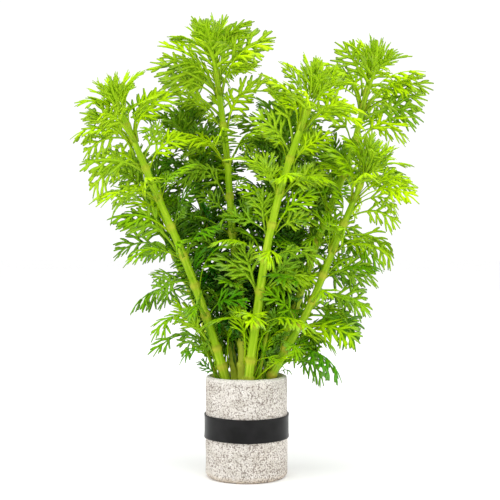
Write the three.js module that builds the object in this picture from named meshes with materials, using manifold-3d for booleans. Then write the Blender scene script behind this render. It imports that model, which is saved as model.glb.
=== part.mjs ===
// Potted ambulia: a bunch of feathery water plant stems in a small porous ceramic pot with a rubber band.
// Millimetres, +Z up. The origin is the centre of the pot's flat underside, and -Y is the front.
import * as THREE from "three";
import { mergeVertices } from "three/addons/utils/BufferGeometryUtils.js";
import Module from "manifold-3d";

const wasm = await Module();
wasm.setup();

// Driving dimensions.
const GAP = 0.3; // between pieces that touch
const POT = { radius: 14.85, height: 36.6, wall: 2.2, floor: 4, foot: 2, rim: 1.05, sides: 24 };
const BAND = { bottom: 14.7, top: 23.2, thickness: 0.45 };
const WOOL = { top: 32, depth: 26, sides: 16 };
const STEM = { sides: 5, steps: 8, socket: 12, tipShare: 0.6 };
const COLLAR = { width: 0.8, inside: 1.8, outside: 0.9 }; // its width from the stem, and its heights
const BUD = { radius: 1.4, narrowing: 0.18, neck: 1, tier: 0.9, step: 0.7, point: 8 }; // steps are bare
const WHORLS = 4; // rings of leaves on a stem, below its crown
const TOP_WHORL = 0.92; // where the highest ring grows, as a share of the stem's length
const TOUCH = 0.002; // the overlap, in cubic millimetres, of leaves that only touch at their roots
const FIRST_CORNER = -Math.PI / 2; // the turn of a turned piece's first corner
const SIDE_TURN = (2 * Math.PI) / STEM.sides;

// Each stem's middle line from the plug's top to its tip, its radius at the foot, its longest leaves in
// the rings and in the crown, how many tiers the crown has, and where the lowest ring grows, as a share of
// the stem's length.
const STEMS = [
  {
    line: [[-6.9, -3.9, 32], [-11.7, -4.3, 49.6], [-21.8, -5.1, 78], [-33.4, -6, 105], [-44.4, -7, 131]],
    radius: 1.8,
    leaf: 23,
    crown: 16,
    tiers: 3,
    lowest: 0.34,
  },
  {
    line: [[-1.6, 2.4, 32], [-2, 3.3, 61.8], [-5, 4.3, 86], [-7.7, 6, 121], [-11.9, 8, 152.5]],
    radius: 1.75,
    leaf: 27,
    crown: 19.5,
    tiers: 3,
    lowest: 0.32,
  },
  {
    line: [[0.4, -7.9, 32], [3.4, -10.2, 57], [7.6, -13.7, 85], [14.2, -17.5, 111], [22.4, -21.3, 134]],
    radius: 1.8,
    leaf: 23,
    crown: 15.5,
    tiers: 3,
    lowest: 0.31,
  },
  {
    line: [[7.4, 1.3, 32], [17.2, 2.3, 59], [27.3, 3.6, 89], [38.4, 5.1, 117], [45.8, 7, 146]],
    radius: 1.7,
    leaf: 26,
    crown: 16,
    tiers: 3,
    lowest: 0.32,
  },
  {
    line: [[7.2, -4, 32], [12.2, -5.2, 43], [22.3, -7.6, 61.5], [33, -11, 88], [41.2, -14.4, 108]],
    radius: 1.65,
    leaf: 23,
    crown: 16.5,
    tiers: 3,
    lowest: 0.3,
  },
  {
    line: [[-4, 6.8, 32], [-7, 9.3, 54], [-10.6, 13.4, 76], [-17.1, 17.4, 99], [-22.6, 24.2, 127]],
    radius: 1.6,
    leaf: 23,
    crown: 16,
    tiers: 2,
    lowest: 0.3,
  },
  {
    line: [[2.8, 7.6, 32], [4.6, 12, 58], [7.6, 17.6, 84], [11, 23, 108], [14.6, 28, 128]],
    radius: 1.6,
    leaf: 23,
    crown: 16,
    tiers: 2,
    lowest: 0.3,
  },
  {
    line: [[-7.4, 3.6, 32], [-13.6, 7.4, 50], [-22.4, 12.6, 70], [-32.4, 17.4, 90], [-40.6, 21.4, 108]],
    radius: 1.55,
    leaf: 22,
    crown: 15.5,
    tiers: 2,
    lowest: 0.32,
  },
  {
    line: [[6.2, 5.8, 32], [12.2, 11.2, 52], [19.6, 16.8, 74], [27, 22, 94], [33.6, 27, 113]],
    radius: 1.55,
    leaf: 22,
    crown: 15.5,
    tiers: 2,
    lowest: 0.33,
  },
];

// The two thin shoots that stand between the stems near the rim.
const SHOOTS = [
  { line: [[-10, -0.4, 32], [-13.2, -0.4, 42], [-17.6, -0.2, 54]], radius: 0.85, leaf: 12 },
  { line: [[4.2, -4.9, 32], [6, -5.6, 46], [9.4, -5.8, 60]], radius: 0.85, leaf: 12 },
];

// How leaves are set. Tilts are degrees from the stem's direction, and sizes are shares of the longest leaf.
// Each pair goes from the lowest leaves to the highest. vary says how far a leaf may differ: its turn in
// radians, its tilt in degrees, its length as a share and the twist of its blade in radians. spin is the
// same for a whole ring.
const WHORL_LEAVES = {
  tilt: [74, 58],
  droop: [0.34, 0.12],
  size: [0.84, 1],
  arch: 0.22,
  spin: 0.2,
  vary: { turn: 0.12, tilt: 7, length: 0.1, twist: 0.35 },
};
const CROWN_LEAVES = {
  lastTier: 2, // the tier, counted from 0, that the second value of each pair is for
  tilt: [60, 14],
  size: [1, 0.66],
  arch: [0.16, -0.04], // the highest leaves curve in over the bud
  vary: { turn: 0.2, tilt: 5, length: 0.08, twist: 0.2 },
};
const SHOOT_LEAVES = {
  bare: [0.2, 0.35, 0.5], // loops without leaves, as shares of the shoot's length
  levels: [0.65, 0.82, 0.94],
  tilt: [45, 29],
  arch: 0.06,
  vary: { turn: 0, tilt: 0, length: 0.15, twist: 0 },
};

// Tried in turn for a leaf that has no room: smaller, turned round the stem, and leaned.
const LEAF_TRIES = {
  sizes: [1, 0.86, 0.72, 0.58, 0.45],
  turns: [0, 12, -12, 25, -25],
  leans: [0, -13, 13, -26, 26],
};
const LEAST_TILT = 12; // in degrees: a leaf leans away from the stem at least so far

// A leaf's lobes on one side of its midrib, as shares of its length: where a lobe's ridge starts, then
// the lobe's tip, along, across and up, and the notch after it, along and across.
const FULL_LEAF = [
  { root: 0.3, lobe: [0.56, 0.28, -0.14], notch: [0.52, 0.09] },
  { root: 0.68, lobe: [0.86, 0.22, -0.11], notch: [0.8, 0.06] },
];
const YOUNG_LEAF = [{ root: 0.4, lobe: [0.7, 0.28, -0.06], notch: [0.62, 0.1] }];
const NARROW_LEAF = [{ root: 0.4, lobe: [0.6, 0.16, 0], notch: [0.56, 0.06] }];
const RIDGE = 0.028; // how far the ridge stands above the midrib, as a share of the leaf's length
const THICKNESS = 0.032; // between the ridge and the notches, as a share of the leaf's length

const COLOURS = {
  pot: { color: 0xd9cfc3, roughness: 0.95, metalness: 0 },
  band: { color: 0x242324, roughness: 0.55, metalness: 0 },
  wool: { color: 0x8c8468, roughness: 1, metalness: 0 },
  stem: { color: 0xa5cd1e, roughness: 0.45, metalness: 0 },
  leaf: { color: 0x4f9a12, roughness: 0.5, metalness: 0 },
  crown: { color: 0xa0d700, roughness: 0.5, metalness: 0 },
};

const UP = new THREE.Vector3(0, 0, 1);
const vector = ([x, y, z]) => new THREE.Vector3(x, y, z);
const radians = THREE.MathUtils.degToRad;
const mix = THREE.MathUtils.lerp;

// The gap as it is measured at a many-sided piece's corners.
const cornerGap = (sides) => GAP / Math.cos(Math.PI / sides);

// A number from -1 to 1 that looks random and is the same each time.
function scatter(a, b, c) {
  const wave = Math.sin(a * 127.1 + b * 311.7 + c * 74.7) * 43758.5453;
  return 2 * (wave - Math.floor(wave)) - 1;
}

// A closed geometry as a solid that can be joined and cut.
function solid(geometry) {
  const bare = geometry.clone();
  bare.deleteAttribute("normal");
  bare.deleteAttribute("uv");
  const merged = mergeVertices(bare, 1e-4);
  return new wasm.Manifold(
    new wasm.Mesh({
      numProp: 3,
      vertProperties: new Float32Array(merged.attributes.position.array),
      triVerts: new Uint32Array(merged.index.array),
    }),
  );
}

function geometryOf(body) {
  const { vertProperties, triVerts } = body.getMesh();
  const geometry = new THREE.BufferGeometry();
  geometry.setAttribute("position", new THREE.BufferAttribute(vertProperties, 3));
  geometry.setIndex(new THREE.BufferAttribute(triVerts, 1));
  const faceted = geometry.toNonIndexed();
  faceted.computeVertexNormals();
  return faceted;
}

// A profile of [radius, height] points turned round the Z axis.
function lathe(profile, sides) {
  const points = profile.map(([radius, height]) => new THREE.Vector2(radius, height));
  return new THREE.LatheGeometry(points, sides).rotateX(Math.PI / 2);
}

// Points on a circle round a profile's point, from one angle to another in degrees.
function arc([radius, height], bend, from, to, steps) {
  const points = [];
  for (let i = 0; i <= steps; i++) {
    const angle = radians(mix(from, to, i / steps));
    points.push([radius + bend * Math.cos(angle), height + bend * Math.sin(angle)]);
  }
  return points;
}

function potGeometry() {
  const { radius, height, wall, floor, foot, rim, sides } = POT;
  const inner = radius - wall;
  const profile = [
    [0, 0],
    ...arc([radius - foot, foot], foot, -90, 0, 2),
    ...arc([radius - rim, height - rim], rim, 0, 90, 2),
    ...arc([inner + rim, height - rim], rim, 90, 180, 2),
    [inner, floor],
    [0, floor],
  ];
  return lathe(profile, sides);
}

function bandGeometry() {
  const inner = POT.radius + cornerGap(POT.sides);
  const outer = inner + BAND.thickness;
  const { bottom, top } = BAND;
  return lathe([[inner, bottom], [outer, bottom], [outer, top], [inner, top], [inner, bottom]], POT.sides);
}

// The plug that fills the pot, with a socket for each stem.
function woolGeometry(sockets) {
  const radius = POT.radius - POT.wall - 2 * GAP;
  const bottom = WOOL.top - WOOL.depth;
  const plug = solid(lathe([[0, bottom], [radius, bottom], [radius, WOOL.top], [0, WOOL.top]], WOOL.sides));
  return geometryOf(sockets.reduce((body, socket) => body.subtract(socket), plug));
}

// A stem's middle line, carried upright down into the plug.
function stemCurve({ line }) {
  const points = line.map(vector);
  const foot = points[0].clone().addScaledVector(UP, -STEM.socket);
  return new THREE.CatmullRomCurve3([foot, ...points], false, "centripetal");
}

// The two directions across a line, of which the first is level.
function crossFrame(axis) {
  const side = new THREE.Vector3().crossVectors(axis, new THREE.Vector3(0, 1, 0)).normalize();
  const out = new THREE.Vector3().crossVectors(axis, side);
  return { side, out };
}

// Bends a straight piece that stands on the origin along a curve as long as it is.
function bendAlong(geometry, curve) {
  const length = curve.getLength();
  const places = geometry.getAttribute("position");
  for (let i = 0; i < places.count; i++) {
    const share = THREE.MathUtils.clamp(places.getZ(i) / length, 0, 1);
    const axis = curve.getTangentAt(share);
    const { side, out } = crossFrame(axis);
    const place = curve.getPointAt(share).addScaledVector(axis, places.getZ(i) - share * length);
    place.addScaledVector(side, places.getX(i)).addScaledVector(out, places.getY(i));
    places.setXYZ(i, place.x, place.y, place.z);
  }
  return geometry;
}

const radiusAt = (stem, share) => stem.radius * mix(1, STEM.tipShare, share);

// A tapering stem. spare makes the room that others leave to it.
function stemGeometry(stem, curve, spare = 0) {
  const length = curve.getLength();
  const profile = [[0, -spare]];
  for (let i = 0; i <= STEM.steps; i++) {
    const share = i / STEM.steps;
    const ends = (i === STEM.steps ? spare : 0) - (i === 0 ? spare : 0);
    profile.push([radiusAt(stem, share) + spare, share * length + ends]);
  }
  profile.push([0, length + spare]);
  return bendAlong(lathe(profile, STEM.sides), curve);
}

// A place on a stem: the point, the stem's direction there, and outward directions by their turn round it.
function placeOn(curve, share) {
  const axis = curve.getTangentAt(share);
  const { side, out } = crossFrame(axis);
  const heading = (turn) => {
    const level = side.clone().multiplyScalar(Math.cos(turn));
    return level.addScaledVector(out, Math.sin(turn));
  };
  return { point: curve.getPointAt(share), axis, heading };
}

// A closed skin, gathered corner by corner and face by face. Faces turn anticlockwise seen from outside.
class Skin {
  corners = [];
  faces = [];

  corner(place) {
    return this.corners.push(place) - 1;
  }

  face(a, b, c) {
    this.faces.push(a, b, c);
  }

  quad(a, b, c, d) {
    this.face(a, b, c);
    this.face(a, c, d);
  }

  geometry() {
    const geometry = new THREE.BufferGeometry();
    const places = this.corners.flatMap((place) => place.toArray());
    geometry.setAttribute("position", new THREE.Float32BufferAttribute(places, 3));
    geometry.setIndex(this.faces);
    return geometry;
  }
}

// A leaf's midrib: an arch from its base to its tip, and the direction across the blade.
function midrib(base, tip, arch, twist, axis) {
  const chord = tip.clone().sub(base);
  const length = chord.length();
  chord.normalize();
  const rise = axis.clone().addScaledVector(chord, -axis.dot(chord)).normalize();
  const middle = base.clone().lerp(tip, 0.5).addScaledVector(rise, 2 * arch * length);
  const across = new THREE.Vector3().crossVectors(rise, chord).applyAxisAngle(chord, twist);
  return { curve: new THREE.QuadraticBezierCurve3(base, middle, tip), across, rise, length };
}

// A blade with pointed lobes, a ridge along its top and sharp edges. Its notches lie a little below the
// ridge. It grows from the four corners of root, which are its left and right ones above and below.
function addLeaf(skin, { curve, across, length }, shape, root) {
  const above = (along) => new THREE.Vector3().crossVectors(curve.getTangent(along), across);
  const onRib = (along, lift) => curve.getPoint(along).addScaledVector(above(along), lift * length);
  const corner = (place, aside = 0) => skin.corner(place.clone().addScaledVector(across, aside * length));
  const stops = [...shape.map((pair) => pair.root), 1];
  const crest = stops.map((along) => onRib(along, along < 1 ? RIDGE : 0));
  const underCrest = (along, row) => {
    const share = (along - stops[row]) / (stops[row + 1] - stops[row]);
    return crest[row].clone().lerp(crest[row + 1], share).addScaledVector(above(along), -THICKNESS * length);
  };
  const ridge = crest.map((place) => corner(place));
  const edge = (hand) =>
    shape.map(({ lobe, notch }, row) => ({
      lobe: corner(onRib(lobe[0], lobe[2]), hand * lobe[1]),
      notch: corner(underCrest(notch[0], row), hand * notch[1]),
    }));
  const left = edge(1);
  const right = edge(-1);
  const last = shape.length - 1;
  const end = ridge[shape.length];
  skin.face(root.leftTop, root.rightTop, ridge[0]);
  skin.quad(root.leftUnder, left[0].notch, right[0].notch, root.rightUnder);
  for (let row = 1; row <= last; row++) {
    skin.quad(left[row - 1].notch, left[row].notch, right[row].notch, right[row - 1].notch);
  }
  skin.face(left[last].notch, end, right[last].notch);
  for (const side of [left, right]) {
    const face = (a, b, c) => skin.face(a, side === left ? b : c, side === left ? c : b);
    const top = side === left ? root.leftTop : root.rightTop;
    const under = side === left ? root.leftUnder : root.rightUnder;
    face(top, side[0].lobe, under);
    side.forEach(({ lobe, notch }, row) => {
      if (row) face(ridge[row - 1], ridge[row], side[row - 1].notch);
      face(row ? side[row - 1].notch : top, ridge[row], lobe);
      face(ridge[row], notch, lobe);
      face(row ? side[row - 1].notch : under, lobe, notch);
    });
    face(ridge[last], end, side[last].notch);
  }
}

// Room that is taken, which leaves stay clear of.
const taken = [];

function take(body) {
  taken.push({ body, box: body.boundingBox() });
}

function boxesMeet(a, b) {
  return [0, 1, 2].every((i) => a.min[i] <= b.max[i] + GAP && b.min[i] <= a.max[i] + GAP);
}

// Whether a leaf has room, also when it moves up or down by the gap, and misses the leaves beside it.
function isClear(leaf, rise, beside) {
  const box = leaf.boundingBox();
  const near = taken.filter((other) => boxesMeet(other.box, box));
  const free = [0, GAP, -GAP].every((shift) => {
    const moved = leaf.translate(rise.clone().multiplyScalar(shift).toArray());
    return near.every(({ body }) => body.intersect(moved).isEmpty());
  });
  return free && beside.every((other) => other.intersect(leaf).volume() < TOUCH);
}

// The solid of one leaf alone, closed at its root.
function leafBody(rib, shape, rootPlaces) {
  const skin = new Skin();
  const [leftTop, rightTop, leftUnder, rightUnder] = rootPlaces.map((place) => skin.corner(place));
  skin.quad(leftTop, leftUnder, rightUnder, rightTop);
  addLeaf(skin, rib, shape, { leftTop, rightTop, leftUnder, rightUnder });
  return solid(skin.geometry());
}

// How a leaf stands that differs from its neighbours by what vary allows.
function leafPose({ turn, tilt, length }, vary, ...seed) {
  const [a, b, c] = seed;
  return {
    turn: turn + vary.turn * scatter(a, b, c),
    tilt: tilt + vary.tilt * scatter(b, c, a),
    length: length * (1 + vary.length * scatter(c, a, b)),
    twist: vary.twist * scatter(c, b, a),
  };
}

// One leaf as asked, or else the largest and straightest that has room. Adds it to the leaves beside it.
function findRib({ place, turn, tilt, length, droop = 0, arch, twist, shape }, rootPlaces, beside) {
  const base = rootPlaces.reduce((sum, corner) => sum.add(corner), new THREE.Vector3()).divideScalar(4);
  for (const size of LEAF_TRIES.sizes) {
    for (const moreTurn of LEAF_TRIES.turns) {
      for (const lean of LEAF_TRIES.leans) {
        const outward = place.heading(turn + radians(moreTurn));
        const angle = radians(Math.max(tilt + lean, LEAST_TILT));
        const reach = length * size;
        const tip = base.clone().addScaledVector(place.axis, reach * Math.cos(angle));
        tip.addScaledVector(outward, reach * Math.sin(angle)).addScaledVector(UP, -reach * droop);
        const rib = midrib(base, tip, arch, twist, place.axis);
        const leaf = leafBody(rib, shape, rootPlaces);
        if (isClear(leaf, rib.rise, beside)) {
          beside.push(leaf);
          return rib;
        }
      }
    }
  }
  return null;
}

// Corners round a stem, from a first turn on.
function addLoop(skin, place, radius, height, turn) {
  return Array.from({ length: STEM.sides }, (_, i) => {
    const outward = place.heading(turn + (2 * Math.PI * i) / STEM.sides);
    const centre = place.point.clone().addScaledVector(place.axis, height);
    return skin.corner(centre.addScaledVector(outward, radius));
  });
}

// The faces between two loops, seen from outside.
function addBand(skin, lower, upper) {
  lower.forEach((_, i) => {
    const next = (i + 1) % lower.length;
    skin.quad(lower[i], lower[next], upper[next], upper[i]);
  });
}

// A band with leaves on its faces. leafOn says what the leaf on a face is like, if it has one.
function addLeafBand(skin, lower, upper, leafOn, beside) {
  lower.forEach((_, i) => {
    const next = (i + 1) % lower.length;
    const root = { leftTop: upper[next], rightTop: upper[i], leftUnder: lower[next], rightUnder: lower[i] };
    const leaf = leafOn(i);
    const rootPlaces = Object.values(root).map((corner) => skin.corners[corner]);
    const rib = leaf && findRib(leaf, rootPlaces, beside);
    if (rib) addLeaf(skin, rib, leaf.shape, root);
    else skin.quad(lower[i], lower[next], upper[next], upper[i]);
  });
}

// A ring of leaves: a collar round the stem with a leaf on each of its sides.
function whorlGeometry(stem, curve, number, row) {
  const rise = row / (WHORLS - 1);
  const share = mix(stem.lowest, TOP_WHORL, rise);
  const place = placeOn(curve, share);
  const inner = radiusAt(stem, share) + cornerGap(STEM.sides);
  const outer = inner + COLLAR.width;
  const skin = new Skin();
  const loop = (radius, height) => addLoop(skin, place, radius, height, FIRST_CORNER);
  const innerUnder = loop(inner, -COLLAR.inside / 2);
  const outerUnder = loop(outer, -COLLAR.outside / 2);
  const outerTop = loop(outer, COLLAR.outside / 2);
  const innerTop = loop(inner, COLLAR.inside / 2);
  const { tilt, droop, size, arch, spin, vary } = WHORL_LEAVES;
  const firstTurn = FIRST_CORNER + spin * scatter(number, row, STEM.sides);
  const leafOn = (i) => {
    const turn = firstTurn + SIDE_TURN * (i + 0.5);
    const middle = { turn, tilt: mix(...tilt, rise), length: stem.leaf * mix(...size, rise) };
    const pose = leafPose(middle, vary, number, row, i);
    return { ...pose, place, droop: mix(...droop, rise), arch, shape: FULL_LEAF };
  };
  const beside = [];
  addBand(skin, innerUnder, outerUnder);
  addLeafBand(skin, outerUnder, outerTop, leafOn, beside);
  addBand(skin, outerTop, innerTop);
  addBand(skin, innerTop, innerUnder);
  beside.forEach(take);
  return skin.geometry();
}

// A bud on a stem's end. leafOn says what the leaf on a side of a tier is like, if it has one.
function budSkin(stem, place, leafOn, beside) {
  const skin = new Skin();
  const { radius, narrowing, neck, tier, step, point } = BUD;
  const foot = skin.corner(place.point.clone());
  let below = addLoop(skin, place, radiusAt(stem, 1), 0, FIRST_CORNER);
  below.forEach((corner, i) => skin.face(foot, below[(i + 1) % below.length], corner));
  for (let row = 0; row < stem.tiers; row++) {
    const turn = FIRST_CORNER + (row * SIDE_TURN) / 2;
    const height = neck + row * (tier + step);
    const narrowed = radius * (1 - narrowing * row);
    const lower = addLoop(skin, place, narrowed, height, turn);
    const upper = addLoop(skin, place, narrowed, height + tier, turn);
    addBand(skin, below, lower);
    addLeafBand(skin, lower, upper, (i) => leafOn(row, i, turn + SIDE_TURN * (i + 0.5)), beside);
    below = upper;
  }
  const tip = skin.corner(place.point.clone().addScaledVector(place.axis, point));
  below.forEach((corner, i) => skin.face(corner, below[(i + 1) % below.length], tip));
  return skin.geometry();
}

// A growing tip: a bud with tiers of young leaves, the lowest most open.
function crownGeometry(stem, curve, number) {
  const place = placeOn(curve, 1);
  place.point.addScaledVector(place.axis, GAP);
  const { lastTier, tilt, size, arch, vary } = CROWN_LEAVES;
  const leafOn = (row, i, turn) => {
    const spread = row / lastTier;
    const middle = { turn, tilt: mix(...tilt, spread), length: stem.crown * mix(...size, spread) };
    const pose = leafPose(middle, vary, number, row, i);
    return { ...pose, place, arch: mix(...arch, spread), shape: YOUNG_LEAF };
  };
  const beside = [solid(budSkin(stem, place, () => null, []))];
  const geometry = budSkin(stem, place, leafOn, beside);
  beside.forEach(take);
  return geometry;
}

// A thin shoot with narrow leaves on every second of its sides.
function shootGeometry(shoot, curve, number) {
  const skin = new Skin();
  const beside = [];
  const { bare, levels, tilt, arch, vary } = SHOOT_LEAVES;
  const loop = (share) => addLoop(skin, placeOn(curve, share), radiusAt(shoot, share), 0, FIRST_CORNER);
  const foot = skin.corner(curve.getPointAt(0));
  let below = loop(0);
  below.forEach((corner, i) => skin.face(foot, below[(i + 1) % below.length], corner));
  for (const level of bare) {
    const next = loop(level);
    addBand(skin, below, next);
    below = next;
  }
  levels.forEach((level, row) => {
    const lower = loop(level);
    const upper = loop(level + shoot.radius / curve.getLength());
    const leafOn = (i) => {
      if ((i + row + number) % 2) return null;
      const angle = mix(...tilt, row / (levels.length - 1));
      const middle = { turn: FIRST_CORNER + SIDE_TURN * (i + 0.5), tilt: angle, length: shoot.leaf };
      const pose = leafPose(middle, vary, i, number, row);
      return { ...pose, place: placeOn(curve, level), arch, shape: NARROW_LEAF };
    };
    addBand(skin, below, lower);
    addLeafBand(skin, lower, upper, leafOn, beside);
    below = upper;
  });
  const tip = skin.corner(curve.getPointAt(1));
  below.forEach((corner, i) => skin.face(corner, below[(i + 1) % below.length], tip));
  beside.forEach(take);
  return skin.geometry();
}

function addMesh(group, name, geometry, colour) {
  const mesh = new THREE.Mesh(geometry, new THREE.MeshStandardMaterial(COLOURS[colour]));
  mesh.name = name;
  group.add(mesh);
}

const root = new THREE.Group();
const holder = new THREE.Group();
const plant = new THREE.Group();
root.add(holder, plant);

const stemCurves = STEMS.map(stemCurve);
const shootCurves = SHOOTS.map(stemCurve);
const spare = cornerGap(STEM.sides);
const stemRooms = STEMS.map((stem, i) => solid(stemGeometry(stem, stemCurves[i], spare)));
const shootRooms = SHOOTS.map((shoot, i) => solid(stemGeometry(shoot, shootCurves[i], spare)));

addMesh(holder, "pot", potGeometry(), "pot");
addMesh(holder, "band", bandGeometry(), "band");
addMesh(holder, "planting_wool", woolGeometry([...stemRooms, ...shootRooms]), "wool");

[solid(potGeometry()), ...stemRooms].forEach(take);
SHOOTS.forEach((shoot, i) => {
  addMesh(plant, `side_shoot_${i + 1}`, shootGeometry(shoot, shootCurves[i], i), "leaf");
});
shootRooms.forEach(take);
STEMS.forEach((stem, i) => {
  addMesh(plant, `stem_${i + 1}`, stemGeometry(stem, stemCurves[i]), "stem");
  addMesh(plant, `crown_${i + 1}`, crownGeometry(stem, stemCurves[i], i), "crown");
});
for (let row = WHORLS - 1; row >= 0; row--) {
  STEMS.forEach((stem, i) => {
    addMesh(plant, `leaf_whorl_${i + 1}_${row + 1}`, whorlGeometry(stem, stemCurves[i], i, row), "leaf");
  });
}

export default root;
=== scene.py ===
"""Potted ambulia, dressed: feathery water plant stems in a small porous ceramic pot with a rubber band.

Shapes are worked out in millimetres and made in metres, +Z up. The front is -Y.
"""

import zlib

import bpy
import numpy as np
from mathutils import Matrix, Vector, noise


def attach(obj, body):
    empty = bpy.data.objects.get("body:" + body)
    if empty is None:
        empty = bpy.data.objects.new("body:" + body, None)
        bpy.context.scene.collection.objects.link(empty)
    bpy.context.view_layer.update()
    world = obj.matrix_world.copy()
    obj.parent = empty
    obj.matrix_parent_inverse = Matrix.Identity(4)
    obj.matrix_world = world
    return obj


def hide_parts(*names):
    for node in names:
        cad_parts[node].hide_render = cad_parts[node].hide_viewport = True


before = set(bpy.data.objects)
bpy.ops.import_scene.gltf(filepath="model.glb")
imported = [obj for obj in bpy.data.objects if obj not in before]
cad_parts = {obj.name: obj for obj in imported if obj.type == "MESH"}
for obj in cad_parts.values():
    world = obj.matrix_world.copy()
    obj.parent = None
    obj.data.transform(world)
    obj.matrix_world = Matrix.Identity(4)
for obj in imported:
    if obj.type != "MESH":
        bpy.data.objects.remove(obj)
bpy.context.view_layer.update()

MM = 0.001
noise.seed_set(1)  # the shift of the pot's pores has a random offset, which this keeps the same

# The camera that took the photo: level, in front of the plant.
CAMERA = {"x": 1.28, "distance": 366, "height": 82.5, "lens": 72, "sensor": 36}
PHOTO_SIDE = 500  # pixels

# The pot, the band and the plug, as in the CAD.
POT = {"radius": 14.85, "height": 36.6, "wall": 2.2, "floor": 4, "foot": 2, "rim": 1.05}
BAND = {"bottom": 14.5, "top": 22.8, "thickness": 0.6}
BAND_EDGE = {"flare": 0.25, "lip": 0.12, "wave": 0.05}
BAND_OVAL = 0.002  # as a share of its radius
WOOL = {"top": 32, "depth": 26, "radius": 12.3}

# The pot's skin: pores of two sizes, how far they open, by how much that differs, and their depth.
PORES = {"size": 0.9, "fine": 0.6, "open": 0.3, "differ": 0.08, "depth": 0.25}
FINE_OPEN, FINE_DEPTH = 0.8, 0.7  # of the small pores, as shares of the large ones
PORE_SHIFT = (1.1, 0.35)  # how often the pores are shifted in a millimetre, and how far
PORE_PATCHES = [(0.16, 1), (0.5, 0.5)]  # how often they open more, and by how much
FULL_PORE = 0.55  # where a pore has its full depth, from 0 at its edge to 1
PORES_FROM = (10, 12)  # radii between which the pores set in
POT_COLUMNS, BAND_COLUMNS, WOOL_COLUMNS = 310, 160, 96  # around the axis
POT_LUMPS = [(0.22, 0.16), (0.9, 0.06)]  # of the wall: how many in a millimetre, and how high
POT_SWELL = 0.08  # how far the wall stands out beyond the CAD's
WOOL_LUMPS = [(0.5, 0.5), (1.7, 0.3), (4, 0.12)]

SOCKET = 12  # how far a stem goes into the plug
TIP_SHARE = 0.6  # a stem's radius at its tip, as a share of the one at its foot
TOP_WHORL = 0.92  # where the highest ring of leaves grows, as a share of the stem's length
WHORLS = 4  # rings of leaves with solids on a stem

# How many rings grow between two of the CAD's, with how many leaves each, and how far out in the bunch
# their tips may be: 1 is its outline.
FRONT_ROW = {"between": (1, 5), "within": 2}
BACK_ROW = {"between": (3, 9), "within": 0.85}
OUTER_ROW = {"between": (3, 9), "within": 0.8}

# Stems and shoots, as in the CAD: the line from the plug's top to the tip, the radius at the foot, the
# longest leaf, the crown's longest, and where the lowest ring of leaves grows. The age given says how fresh
# the leaves look, with painted shade in it: above 0 in front only, and below 0 on the stems at the back,
# which are painted darker.
STEMS = [
    {"radius": 1.8, "leaf": 23, "crown": 16, "lowest": 0.34, "age": 0.09, **FRONT_ROW, "line": [
        (-6.9, -3.9, 32), (-11.7, -4.3, 49.6), (-21.8, -5.1, 78), (-33.4, -6, 105), (-44.4, -7, 131)]},
    {"radius": 1.75, "leaf": 27, "crown": 19.5, "lowest": 0.32, "age": 0.22, **FRONT_ROW, "line": [
        (-1.6, 2.4, 32), (-2, 3.3, 61.8), (-5, 4.3, 86), (-7.7, 6, 121), (-11.9, 8, 152.5)]},
    {"radius": 1.8, "leaf": 23, "crown": 15.5, "lowest": 0.31, "age": 0.27, **FRONT_ROW, "line": [
        (0.4, -7.9, 32), (3.4, -10.2, 57), (7.6, -13.7, 85), (14.2, -17.5, 111), (22.4, -21.3, 134)]},
    {"radius": 1.7, "leaf": 26, "crown": 16, "lowest": 0.32, "age": 0.16, **FRONT_ROW, "line": [
        (7.4, 1.3, 32), (17.2, 2.3, 59), (27.3, 3.6, 89), (38.4, 5.1, 117), (45.8, 7, 146)]},
    {"radius": 1.65, "leaf": 23, "crown": 16.5, "lowest": 0.3, "age": 0.05, **FRONT_ROW, "line": [
        (7.2, -4, 32), (12.2, -5.2, 43), (22.3, -7.6, 61.5), (33, -11, 88), (41.2, -14.4, 108)]},
    {"radius": 1.6, "leaf": 23, "crown": 16, "lowest": 0.3, "age": -0.08, **BACK_ROW, "line": [
        (-4, 6.8, 32), (-7, 9.3, 54), (-10.6, 13.4, 76), (-17.1, 17.4, 99), (-22.6, 24.2, 127)]},
    {"radius": 1.6, "leaf": 23, "crown": 16, "lowest": 0.3, "age": -0.08, **BACK_ROW, "line": [
        (2.8, 7.6, 32), (4.6, 12, 58), (7.6, 17.6, 84), (11, 23, 108), (14.6, 28, 128)]},
    {"radius": 1.55, "leaf": 22, "crown": 15.5, "lowest": 0.32, "age": -0.06, **OUTER_ROW, "line": [
        (-7.4, 3.6, 32), (-13.6, 7.4, 50), (-22.4, 12.6, 70), (-32.4, 17.4, 90), (-40.6, 21.4, 108)]},
    {"radius": 1.55, "leaf": 22, "crown": 15.5, "lowest": 0.33, "age": -0.06, **OUTER_ROW, "line": [
        (6.2, 5.8, 32), (12.2, 11.2, 52), (19.6, 16.8, 74), (27, 22, 94), (33.6, 27, 113)]},
]
THIN_SHOOT = {"radius": 0.85, "leaf": 12, "within": 2}
SHOOTS = [
    {"line": [(-10, -0.4, 32), (-13.2, -0.4, 42), (-17.6, -0.2, 54)], "age": 0.1, **THIN_SHOOT},
    {"line": [(4.2, -4.9, 32), (6, -5.6, 46), (9.4, -5.8, 60)], "age": 0.2, **THIN_SHOOT},
]

# How leaves arch, as in the CAD: on a ring, on a crown's lowest and highest tier, and on a shoot.
RING_ARCH = 0.22
RING_TILT, RING_DROOP = (74, 58), (0.34, 0.12)  # of the lowest and the highest ring
RISING_ARCH = 0.15
CROWN_ARCH = (0.16, -0.04)
SHOOT_ARCH = 0.06
FIRST_TIER, TIER_STEP, LAST_TIER = 1.75, 1.6, 2  # heights of a crown's leaves above the stem's end
LEAF_AGE = (0.38, 0.86)  # how fresh leaves look at a stem's foot and at its tip
CROWN_AGE, TIER_AGE = 0.85, 0.05  # of a crown's lowest leaves, and what each tier adds

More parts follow.
